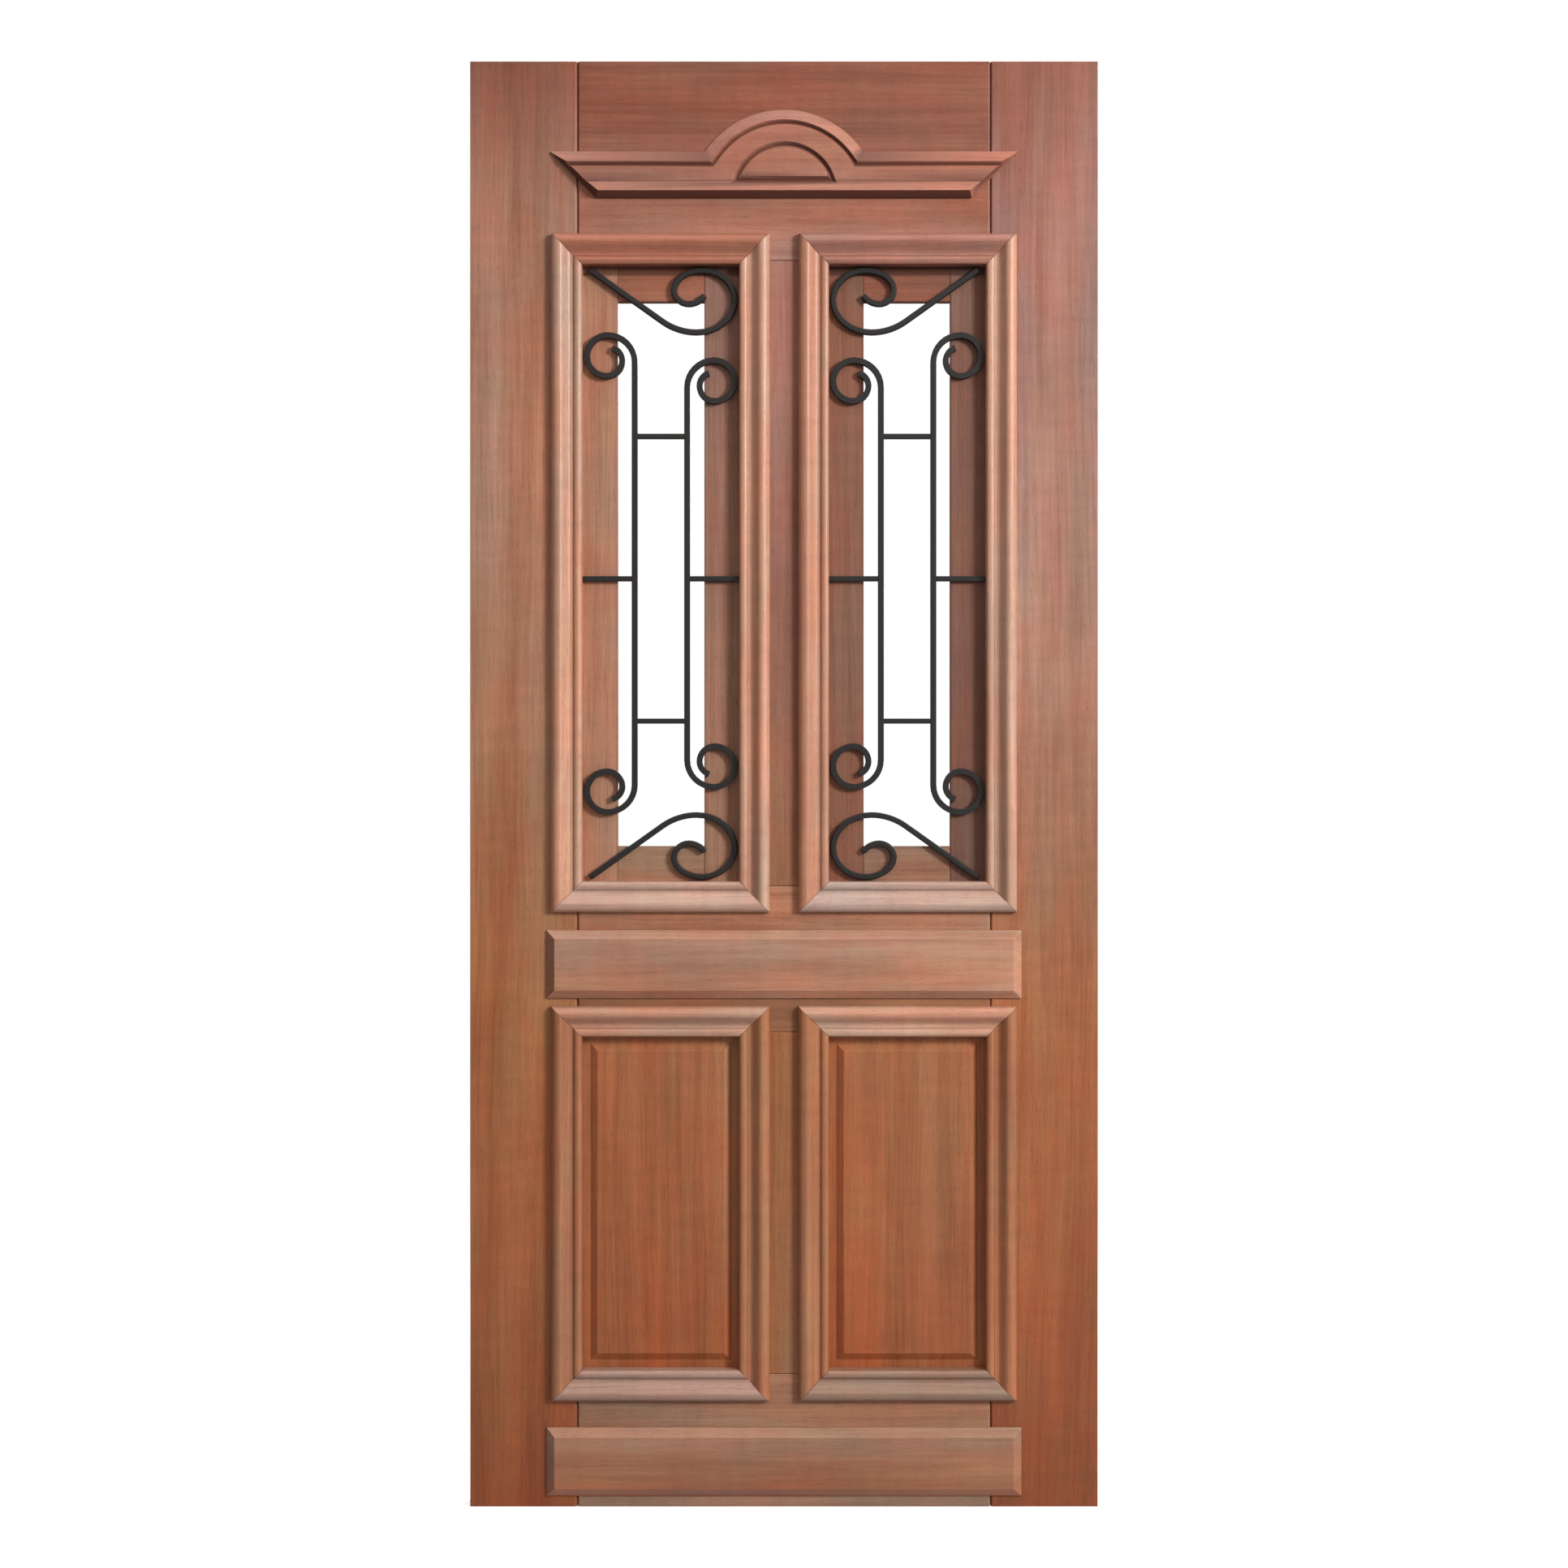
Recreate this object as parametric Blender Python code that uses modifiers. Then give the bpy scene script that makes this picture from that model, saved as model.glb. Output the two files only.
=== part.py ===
"""Panelled wooden door leaf with two lights behind scrolled ironwork.

Lengths are in metres and +Z is up. The front of the leaf faces -Y. The world origin is at the middle of
the hanging edge, halfway through the leaf, and every height below is measured from the foot of the leaf.
"""
import math

import bmesh
import bpy
from mathutils import Matrix, Vector

# Leaf and framing
LEAF_WIDTH = 0.860
LEAF_HEIGHT = 1.980
LEAF_THICKNESS = 0.040
STILE_WIDTH = 0.147
TOP_RAIL_HEIGHT = 0.2725
MIDDLE_RAIL_HEIGHT = 0.1995
BOTTOM_RAIL_HEIGHT = 0.1815
MULLION_WIDTH = 0.110
PANEL_OPENING_HEIGHT = 0.469
JOINT_GAP = 0.0003
RAIL_JOINT_CHAMFER = 0.0022
MULLION_JOINT_CHAMFER = 0.001

# Tenons
TENON_THICKNESS = 0.012
RAIL_TENON_LENGTH = 0.060
MULLION_TENON_LENGTH = 0.030
TENON_SHOULDER = 0.025
TENON_ROOT = 0.010

# Front mouldings round the lights and the panels
MOULDING_LAP = 0.0355
MOULDING_SIGHT = 0.0065
BEAD_WIDTH = 0.012
BEAD_SPRING = 0.003
BEAD_HEIGHT = 0.0078
VALLEY_WIDTH = 0.003
VALLEY_HEIGHT = 0.0046
CREST_WIDTH = 0.0115
CREST_HEIGHT = 0.015
MOULDING_EDGE = 0.0045
MITRE_GAP = 0.0003

# Infill, set back from the front face
INFILL_SETBACK = 0.013

# Fielded panels
PANEL_THICKNESS = 0.020
PANEL_CLEARANCE = 0.001
PANEL_MARGIN = 0.016
PANEL_BEVEL = 0.010
PANEL_RISE = 0.006

# Sashes in the lights
SASH_MEMBER_WIDTH = 0.054
SASH_BACK_SETBACK = 0.003
SASH_CLEARANCE = 0.0005
GLAZING_REBATE_WIDTH = 0.011
GLAZING_REBATE_DEPTH = 0.012

# Beads on the back
BACK_BEAD_LAP = 0.018
BACK_BEAD_SIGHT = 0.006
BACK_BEAD_HEIGHT = 0.008
BACK_BEAD_EDGE = 0.003

# Planted blocks
BLOCK_LAP = 0.042
BLOCK_HEIGHT = 0.0935
BLOCK_EDGE = 0.0025
BLOCK_BEVEL = 0.0115
BLOCK_RISE = 0.0095
MIDDLE_BLOCK_ABOVE_RAIL_FOOT = 0.046
BOTTOM_BLOCK_ABOVE_RAIL_FOOT = 0.016

# Cornice
CORNICE_ABOVE_RAIL_FOOT = 0.085
CORNICE_TIP_LAP = 0.037
CORNICE_HEIGHT = 0.0635
CORNICE_EDGE = 0.002
CORNICE_SLOPE_WIDTH = 0.016
CORNICE_SLOPE_RISE = 0.0112
CORNICE_GROOVE_WIDTH = 0.008
CORNICE_GROOVE_DEPTH = 0.0042
CORNICE_ARCH_RADIUS = 0.131
CORNICE_ARCH_DROP = 0.0105
CORNICE_END_EDGE = 0.004
CORNICE_END_BEVEL = 0.009
CORNICE_FILLET_FOOT = 0.005
CORNICE_FILLET_HEIGHT = 0.014
CORNICE_FILLET_RISE = 0.0045
LUNETTE_RADIUS = 0.069
LUNETTE_CENTRE_RISE = 0.0015
LUNETTE_SILL_RISE = 0.022
LUNETTE_GROOVE_WIDTH = 0.009
LUNETTE_GROOVE_DEPTH = 0.0045

# Ironwork
BAR_SIZE = 0.008
STAY_SIZE = 0.007
IRON_CLEARANCE = 0.002
IRON_SETOFF = 0.0006
LONG_BAR_OFFSET = 0.036
INNER_SCROLL_GAP = 0.0385
OUTER_BAR_EXTRA = 0.0345
CROSS_BAR_SHARE = 0.764
CROSS_BAR_DROP = 0.007
STAY_CLEARANCE = 0.0006
SCROLL_SHARES = ((0.565, 0.565), (0.435, 0.435), (0.42, 0.42), (0.32, 0.32), (0.275, 0.275))
SCROLL_TIP_SWEEP = math.radians(75)
CORNER_SHARES = ((0.515, 0.440), (0.438, 0.397), (0.383, 0.263), (0.197, 0.191), (0.250, 0.240))
CORNER_TIP_SWEEP = math.radians(60)
CORNER_ANGLE = math.radians(35.4)
CORNER_BEND_SHARE = 0.80
CORNER_START_INSET = 0.004
ARC_STEPS = 8

# Curves in the profiles
PROFILE_STEPS = 6
ARCH_STEPS = 28

# Derived places
FRONT = -LEAF_THICKNESS / 2
BACK = LEAF_THICKNESS / 2
CENTRE_X = LEAF_WIDTH / 2
INFILL_FRONT = FRONT + INFILL_SETBACK
TOP_RAIL_FOOT = LEAF_HEIGHT - TOP_RAIL_HEIGHT
MIDDLE_RAIL_FOOT = BOTTOM_RAIL_HEIGHT + PANEL_OPENING_HEIGHT
LIGHT_FOOT = MIDDLE_RAIL_FOOT + MIDDLE_RAIL_HEIGHT
OPENING_WIDTH = (LEAF_WIDTH - 2 * STILE_WIDTH - MULLION_WIDTH) / 2
LIGHT_HEIGHT = TOP_RAIL_FOOT - LIGHT_FOOT
BOARD_RISE = CORNICE_EDGE + CORNICE_SLOPE_RISE
SIDES = ("bottom", "left", "top", "right")


def clear_scene():
    """Remove what the file opened with."""
    for obj in list(bpy.data.objects):
        bpy.data.objects.remove(obj, do_unlink=True)


def make_collection(name):
    collection = bpy.data.collections.new(name)
    bpy.context.scene.collection.children.link(collection)
    return collection


def make_material(name, colour, roughness, metallic=0.0):
    material = bpy.data.materials.new(name)
    material.use_nodes = True
    shader = material.node_tree.nodes["Principled BSDF"]
    shader.inputs["Base Color"].default_value = (*colour, 1.0)
    shader.inputs["Roughness"].default_value = roughness
    shader.inputs["Metallic"].default_value = metallic
    return material


def add_piece(name, bm, material, location=(0.0, 0.0, 0.0), turn=0.0):
    """Make a piece of the door from a bmesh, turned about Y and placed on the leaf."""
    mesh = bpy.data.meshes.new(name)
    bm.to_mesh(mesh)
    bm.free()
    piece = bpy.data.objects.new(name, mesh)
    piece.data.materials.append(material)
    piece.location = location
    piece.rotation_euler = (0.0, turn, 0.0)
    piece.parent = leaf
    door.objects.link(piece)
    return piece


def add_tool(name, bm, location=(0.0, 0.0, 0.0)):
    """Make a hidden shape that is cut from a piece or joined to it."""
    tool = add_piece(name, bm, red_wood, location)
    door.objects.unlink(tool)
    cutters.objects.link(tool)
    tool.display_type = "WIRE"
    tool.hide_render = True
    return tool


def combine(piece, tool, operation):
    modifier = piece.modifiers.new(tool.name, "BOOLEAN")
    modifier.operation = operation
    modifier.object = tool
    modifier.solver = "EXACT"


def box_between(low, high):
    """Return a bmesh box between two corners."""
    low, high = Vector(low), Vector(high)
    bm = bmesh.new()
    place = Matrix.Translation((low + high) / 2) @ Matrix.Diagonal((*(high - low), 1.0))
    bmesh.ops.create_cube(bm, size=1.0, matrix=place)
    return bm


def extruded(outline, along):
    """Return a bmesh of a flat outline of points pushed along a vector."""
    bm = bmesh.new()
    face = bm.faces.new([bm.verts.new(point) for point in outline])
    pushed = bmesh.ops.extrude_face_region(bm, geom=[face])["geom"]
    verts = [item for item in pushed if isinstance(item, bmesh.types.BMVert)]
    bmesh.ops.translate(bm, verts=verts, vec=along)
    bmesh.ops.recalc_face_normals(bm, faces=bm.faces)
    return bm


def plate(outline, low_y, high_y):
    """Return a bmesh plate of an outline of (x, z) points, and its front face."""
    bm = extruded([(x, high_y, z) for x, z in outline], (0.0, low_y - high_y, 0.0))
    return bm, front_face(bm)


def front_face(bm):
    return min(bm.faces, key=lambda face: (face.calc_center_median().y, -face.calc_area()))


def back_face(bm):
    return max(bm.faces, key=lambda face: (face.calc_center_median().y, face.calc_area()))


def step_face(bm, face, steps):
    """Inset a face by each width in turn and raise it by each rise."""
    for width, rise in steps:
        bmesh.ops.inset_region(bm, faces=[face], thickness=width, depth=rise, use_even_offset=True)


def arc_points(centre, radii, start, end, steps):
    """Return points on an elliptical arc, angles in radians."""
    angles = [start + (end - start) * i / steps for i in range(steps + 1)]
    return [(centre[0] + radii[0] * math.cos(a), centre[1] + radii[1] * math.sin(a)) for a in angles]


def framing_member(name, low_x, high_x, foot, head, eased, chamfer):
    """Add a stile, rail or mullion, with its front and back arrises eased on the sides named."""
    centre = Vector(((low_x + high_x) / 2, 0.0, (foot + head) / 2))
    half = Vector(((high_x - low_x) / 2, LEAF_THICKNESS / 2, (head - foot) / 2))
    bm = box_between(-half, half)
    edges = []
    for axis, sign in eased:
        for edge in bm.edges:
            ends = [vert.co for vert in edge.verts]
            on_side = all(end[axis] * sign > 0 for end in ends)
            if on_side and ends[0].y * ends[1].y > 0:
                edges.append(edge)
    bmesh.ops.bevel(bm, geom=edges, offset=chamfer, segments=1, profile=0.5, affect="EDGES")
    return add_piece(name, bm, red_wood, centre)


def tenon_joint(tenoned, mortised, low, high, toward):
    """Let a tenon of one member, between two corners, into a mortise of another."""
    low, high = Vector(low), Vector(high)
    root = Vector(toward) * TENON_ROOT
    low = Vector(map(min, low, low - root))
    high = Vector(map(max, high, high - root))
    gap = Vector((JOINT_GAP, JOINT_GAP, JOINT_GAP))
    name = f"{tenoned.name}_to_{mortised.name}"
    combine(tenoned, add_tool(name + "_tenon", box_between(low, high)), "UNION")
    combine(mortised, add_tool(name + "_mortise", box_between(low - gap, high + gap)), "DIFFERENCE")


def make_framing():
    """Make the stiles, rails and mullions with their tenons."""
    inner_left = STILE_WIDTH
    inner_right = LEAF_WIDTH - STILE_WIDTH
    stiles = (
        framing_member("left_stile", 0.0, inner_left, 0.0, LEAF_HEIGHT, [(0, 1)], RAIL_JOINT_CHAMFER),
        framing_member(
            "right_stile", inner_right, LEAF_WIDTH, 0.0, LEAF_HEIGHT, [(0, -1)], RAIL_JOINT_CHAMFER
        ),
    )
    rails = {}
    for name, foot, height in (
        ("top_rail", TOP_RAIL_FOOT, TOP_RAIL_HEIGHT),
        ("middle_rail", MIDDLE_RAIL_FOOT, MIDDLE_RAIL_HEIGHT),
        ("bottom_rail", 0.0, BOTTOM_RAIL_HEIGHT),
    ):
        rail = framing_member(
            name,
            inner_left + JOINT_GAP,
            inner_right - JOINT_GAP,
            foot,
            foot + height,
            [(0, 1), (0, -1)],
            RAIL_JOINT_CHAMFER,
        )
        rails[name] = rail
        tenon_foot = foot + TENON_SHOULDER
        tenon_head = foot + height - TENON_SHOULDER
        half = TENON_THICKNESS / 2
        tenon_joint(
            rail,
            stiles[0],
            (inner_left - RAIL_TENON_LENGTH, -half, tenon_foot),
            (inner_left + JOINT_GAP, half, tenon_head),
            (-1, 0, 0),
        )
        tenon_joint(
            rail,
            stiles[1],
            (inner_right - JOINT_GAP, -half, tenon_foot),
            (inner_right + RAIL_TENON_LENGTH, half, tenon_head),
            (1, 0, 0),
        )
    for name, foot, head, lower, upper in (
        ("upper_mullion", LIGHT_FOOT, TOP_RAIL_FOOT, "middle_rail", "top_rail"),
        ("lower_mullion", BOTTOM_RAIL_HEIGHT, MIDDLE_RAIL_FOOT, "bottom_rail", "middle_rail"),
    ):
        mullion = framing_member(
            name,
            CENTRE_X - MULLION_WIDTH / 2,
            CENTRE_X + MULLION_WIDTH / 2,
            foot + JOINT_GAP,
            head - JOINT_GAP,
            [(2, 1), (2, -1)],
            MULLION_JOINT_CHAMFER,
        )
        reach = MULLION_WIDTH / 2 - TENON_SHOULDER
        tenon_joint(
            mullion,
            rails[lower],
            (CENTRE_X - reach, -TENON_THICKNESS / 2, foot - MULLION_TENON_LENGTH),
            (CENTRE_X + reach, TENON_THICKNESS / 2, foot + JOINT_GAP),
            (0, 0, -1),
        )
        tenon_joint(
            mullion,
            rails[upper],
            (CENTRE_X - reach, -TENON_THICKNESS / 2, head - JOINT_GAP),
            (CENTRE_X + reach, TENON_THICKNESS / 2, head + MULLION_TENON_LENGTH),
            (0, 0, 1),
        )


def moulding_profile():
    """Return the bolection section: distance out from the sight edge, height off the face."""
    bead = arc_points(
        (BEAD_WIDTH / 2, BEAD_SPRING),
        (BEAD_WIDTH / 2, BEAD_HEIGHT - BEAD_SPRING),
        math.pi,
        math.asin((VALLEY_HEIGHT - BEAD_SPRING) / (BEAD_HEIGHT - BEAD_SPRING)),
        PROFILE_STEPS,
    )
    width = MOULDING_SIGHT + MOULDING_LAP
    valley = BEAD_WIDTH + VALLEY_WIDTH
    crest = width - CREST_WIDTH
    climb = CREST_HEIGHT - VALLEY_HEIGHT
    ogee = []
    for i in range(PROFILE_STEPS + 1):
        share = i / PROFILE_STEPS
        eased = share * share * (3 - 2 * share)
        ogee.append((valley + (crest - valley) * share, VALLEY_HEIGHT + climb * eased))
    fall = arc_points(
        (crest, MOULDING_EDGE), (CREST_WIDTH, CREST_HEIGHT - MOULDING_EDGE), math.pi / 2, 0.0, PROFILE_STEPS
    )
    step = MOULDING_SIGHT - JOINT_GAP
    lip = JOINT_GAP - INFILL_SETBACK
    seat = [(width, JOINT_GAP), (step, JOINT_GAP), (step, lip), (0.0, lip)]
    return bead + ogee + fall[1:] + seat


def back_bead_profile(lip_depth):
    """Return the plain rounded section on the back, with a lip that reaches in to the infill."""
    width = BACK_BEAD_SIGHT + BACK_BEAD_LAP
    rise = BACK_BEAD_HEIGHT - BACK_BEAD_EDGE
    inner = arc_points((rise, BACK_BEAD_EDGE), (rise, rise), math.pi, math.pi / 2, PROFILE_STEPS // 2)
    outer = arc_points((width - rise, BACK_BEAD_EDGE), (rise, rise), math.pi / 2, 0.0, PROFILE_STEPS // 2)
    step = BACK_BEAD_SIGHT - JOINT_GAP
    lip = JOINT_GAP - lip_depth
    return inner + outer + [(width, JOINT_GAP), (step, JOINT_GAP), (step, lip), (0.0, lip)]


def mitred_member(profile, half_length, half_across, facing):
    """Return a bmesh length of a profile, mitred at both ends, outside a sight edge below its centre."""
    reach = half_length + 2 * max(out for out, _ in profile)
    section = [(-reach, facing * height, -half_across - out) for out, height in profile]
    bm = extruded(section, (2 * reach, 0.0, 0.0))
    for side in (-1, 1):
        corner = (side * half_length, 0.0, -half_across)
        normal = Vector((side, 0.0, 1.0)).normalized()
        cut = bmesh.ops.bisect_plane(
            bm,
            geom=[*bm.verts, *bm.edges, *bm.faces],
            plane_co=Vector(corner) - normal * MITRE_GAP / 2,
            plane_no=normal,
            clear_outer=True,
        )
        rim = [item for item in cut["geom_cut"] if isinstance(item, bmesh.types.BMEdge)]
        bmesh.ops.edgenet_fill(bm, edges=rim)
    bmesh.ops.recalc_face_normals(bm, faces=bm.faces)
    return bm


def make_surround(name, centre_x, foot, height, profile, sight, facing):
    """Make four mitred lengths round an opening, on the front (facing -1) or the back (facing 1)."""
    half_width = OPENING_WIDTH / 2 - sight
    half_height = height / 2 - sight
    plane = FRONT if facing < 0 else BACK
    for quarter, side in enumerate(SIDES):
        upright = quarter % 2
        along = half_height if upright else half_width
        across = half_width if upright else half_height
        bm = mitred_member(profile, along, across, facing)
        centre = (centre_x, plane, foot + height / 2)
        add_piece(f"{name}_{side}", bm, brown_wood, centre, quarter * math.pi / 2)


def make_panel(name, centre_x):
    """Make a solid panel, raised and fielded on the front."""
    half = Vector(
        (
            OPENING_WIDTH / 2 - PANEL_CLEARANCE,
            PANEL_THICKNESS / 2,
            PANEL_OPENING_HEIGHT / 2 - PANEL_CLEARANCE,
        )
    )
    bm = box_between(-half, half)
    step_face(bm, front_face(bm), [(PANEL_MARGIN, 0.0), (PANEL_BEVEL, PANEL_RISE)])
    centre = (centre_x, INFILL_FRONT + PANEL_THICKNESS / 2, BOTTOM_RAIL_HEIGHT + PANEL_OPENING_HEIGHT / 2)
    add_piece(name, bm, brown_wood, centre)


def make_block(name, foot):
    """Make a planted board with a bevel all round its face."""
    low = (STILE_WIDTH - BLOCK_LAP, FRONT - JOINT_GAP - BLOCK_EDGE, foot)
    high = (LEAF_WIDTH - STILE_WIDTH + BLOCK_LAP, FRONT - JOINT_GAP, foot + BLOCK_HEIGHT)
    bm = box_between(low, high)
    step_face(bm, front_face(bm), [(BLOCK_BEVEL, BLOCK_RISE)])
    add_piece(name, bm, brown_wood)


def make_sash(name, centre_x):
    """Make the four members that stand behind the ironwork of one light."""
    left = centre_x - OPENING_WIDTH / 2 + SASH_CLEARANCE
    right = centre_x + OPENING_WIDTH / 2 - SASH_CLEARANCE
    foot = LIGHT_FOOT + SASH_CLEARANCE
    head = TOP_RAIL_FOOT - SASH_CLEARANCE
    front = INFILL_FRONT
    back = BACK - SASH_BACK_SETBACK
    ledge = back - GLAZING_REBATE_DEPTH
    inner_left = left + SASH_MEMBER_WIDTH
    inner_right = right - SASH_MEMBER_WIDTH
    behind = SASH_MEMBER_WIDTH - GLAZING_REBATE_WIDTH
    for side, outer, inner, shoulder in (
        ("left", left, inner_left, left + behind),
        ("right", right, inner_right, right - behind),
    ):
        section = [(outer, front), (inner, front), (inner, ledge)]
        section += [(shoulder, ledge), (shoulder, back), (outer, back)]
        bm = extruded([(x, y, foot) for x, y in section], (0.0, 0.0, head - foot))
        add_piece(f"{name}_{side}_stile", bm, brown_wood)
    low_x = inner_left + JOINT_GAP
    high_x = inner_right - JOINT_GAP
    for side, outer, inner, shoulder in (
        ("top", head, head - SASH_MEMBER_WIDTH, head - behind),
        ("bottom", foot, foot + SASH_MEMBER_WIDTH, foot + behind),
    ):
        section = [(front, outer), (front, inner), (ledge, inner)]
        section += [(ledge, shoulder), (back, shoulder), (back, outer)]
        bm = extruded([(low_x, y, z) for y, z in section], (high_x - low_x, 0.0, 0.0))
        rail = add_piece(f"{name}_{side}_rail", bm, brown_wood)
        low = (low_x - GLAZING_REBATE_WIDTH, ledge + JOINT_GAP, min(outer, shoulder))
        high = (high_x + GLAZING_REBATE_WIDTH, back, max(outer, shoulder))
        combine(rail, add_tool(f"{name}_{side}_rail_tongue", box_between(low, high)), "UNION")


def make_cornice():
    """Make the planted cornice: a board with an arch and a grooved line, a fillet and a lunette."""
    tip = LEAF_WIDTH / 2 - STILE_WIDTH + CORNICE_TIP_LAP
    spare = CORNICE_SLOPE_WIDTH + 2 * CORNICE_GROOVE_WIDTH + CORNICE_HEIGHT
    foot_x = math.sqrt(CORNICE_ARCH_RADIUS**2 - (CORNICE_HEIGHT + CORNICE_ARCH_DROP) ** 2)
    foot_angle = math.atan2(CORNICE_HEIGHT + CORNICE_ARCH_DROP, foot_x)
    arch = arc_points(
        (0.0, -CORNICE_ARCH_DROP),
        (CORNICE_ARCH_RADIUS, CORNICE_ARCH_RADIUS),
        foot_angle,
        math.pi - foot_angle,
        ARCH_STEPS,
    )
    outline = [(-tip - spare, -spare), (tip + spare, -spare), (tip + spare, CORNICE_HEIGHT)]
    outline += arch + [(-tip - spare, CORNICE_HEIGHT)]
    bm, face = plate(outline, -CORNICE_EDGE, 0.0)
    groove = CORNICE_GROOVE_WIDTH / 2
    step_face(
        bm,
        face,
        [
            (CORNICE_SLOPE_WIDTH, CORNICE_SLOPE_RISE),
            (groove, -CORNICE_GROOVE_DEPTH),
            (groove, CORNICE_GROOVE_DEPTH),
        ],
    )
    place = (CENTRE_X, FRONT - JOINT_GAP, TOP_RAIL_FOOT + CORNICE_ABOVE_RAIL_FOOT)
    cornice = add_piece("cornice", bm, red_wood, place)

    fillet_low = CORNICE_FILLET_FOOT
    fillet_high = CORNICE_FILLET_FOOT + CORNICE_FILLET_HEIGHT
    section = [
        (-spare, BOARD_RISE / 2),
        (fillet_high, BOARD_RISE / 2),
        (fillet_high, BOARD_RISE + CORNICE_FILLET_RISE / 4),
        (fillet_low, BOARD_RISE + CORNICE_FILLET_RISE),
        (-spare, BOARD_RISE + CORNICE_FILLET_RISE),
    ]
    bm = extruded([(-tip - spare / 2, -rise, z) for z, rise in section], (2 * tip + spare, 0.0, 0.0))
    combine(cornice, add_tool("cornice_fillet", bm, place), "UNION")

    top = CORNICE_ARCH_RADIUS + spare
    envelope = [
        (-tip + CORNICE_HEIGHT, 0.0),
        (tip - CORNICE_HEIGHT, 0.0),
        (tip - CORNICE_HEIGHT + top, top),
        (-tip + CORNICE_HEIGHT - top, top),
    ]
    bm, face = plate(envelope, -CORNICE_END_EDGE, CORNICE_EDGE)
    bevel_rise = BOARD_RISE + 2 * CORNICE_FILLET_RISE - CORNICE_END_EDGE
    step_face(bm, face, [(CORNICE_END_BEVEL, bevel_rise)])
    combine(cornice, add_tool("cornice_envelope", bm, place), "INTERSECT")

    groove = LUNETTE_GROOVE_WIDTH / 2
    floor_y = LUNETTE_GROOVE_DEPTH - BOARD_RISE
    bm, _ = plate(lunette_outline(groove), -2 * BOARD_RISE, -BOARD_RISE - JOINT_GAP)
    step_face(bm, back_face(bm), [(groove, LUNETTE_GROOVE_DEPTH + JOINT_GAP)])
    combine(cornice, add_tool("cornice_lunette_recess", bm, place), "DIFFERENCE")
    bm, face = plate(lunette_outline(-JOINT_GAP), floor_y, floor_y / 2)
    step_face(bm, face, [(groove, LUNETTE_GROOVE_DEPTH - JOINT_GAP)])
    combine(cornice, add_tool("cornice_lunette_field", bm, place), "UNION")


def lunette_outline(spread):
    """Return the half round outline of the lunette's groove, spread outward."""
    radius = LUNETTE_RADIUS + spread
    start = math.asin((LUNETTE_SILL_RISE - spread - LUNETTE_CENTRE_RISE) / radius)
    return arc_points((0.0, LUNETTE_CENTRE_RISE), (radius, radius), start, math.pi - start, ARCH_STEPS)


def quarter_turns(point, heading, turn, radii, tip_sweep):
    """Return points of a scroll of quarter turns that tighten; the last one sweeps tip_sweep."""
    point, heading = Vector(point), Vector(heading)
    points = []
    for number, (across, upright) in enumerate(radii):
        inward = Vector((-heading.y, heading.x)) * turn
        ahead = abs(heading.x) * across + abs(heading.y) * upright
        aside = abs(inward.x) * across + abs(inward.y) * upright
        centre = point + inward * aside
        sweep = tip_sweep if number == len(radii) - 1 else math.pi / 2
        for i in range(1, ARC_STEPS + 1):
            angle = sweep * i / ARC_STEPS
            points.append(centre - inward * aside * math.cos(angle) + heading * ahead * math.sin(angle))
        point = points[-1]
        heading = inward
    return points


def bar_along(points, mirror):
    """Return a bmesh ribbon as deep as a bar, which Solidify makes square."""
    bm = bmesh.new()
    verts = [bm.verts.new((mirror * x, -BAR_SIZE, z)) for x, z in points]
    edges = [bm.edges.new(pair) for pair in zip(verts, verts[1:])]
    pushed = bmesh.ops.extrude_edge_only(bm, edges=edges)["geom"]
    deep = [item for item in pushed if isinstance(item, bmesh.types.BMVert)]
    bmesh.ops.translate(bm, verts=deep, vec=(0.0, BAR_SIZE, 0.0))
    return bm


def square_up(piece):
    modifier = piece.modifiers.new("bar", "SOLIDIFY")
    modifier.thickness = BAR_SIZE
    modifier.offset = 0.0
    modifier.use_even_offset = True


def long_bar_points(offset, straight, outward, reach):
    """Return the line of an upright bar whose two ends curl outward."""
    radii = [(reach * across, reach * upright) for across, upright in SCROLL_SHARES]
    upper = quarter_turns((offset, straight), (0, 1), -outward, radii, SCROLL_TIP_SWEEP)
    upper.insert(0, Vector((offset, straight)))
    lower = [Vector((x, -z)) for x, z in reversed(upper)]
    return lower + upper


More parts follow.
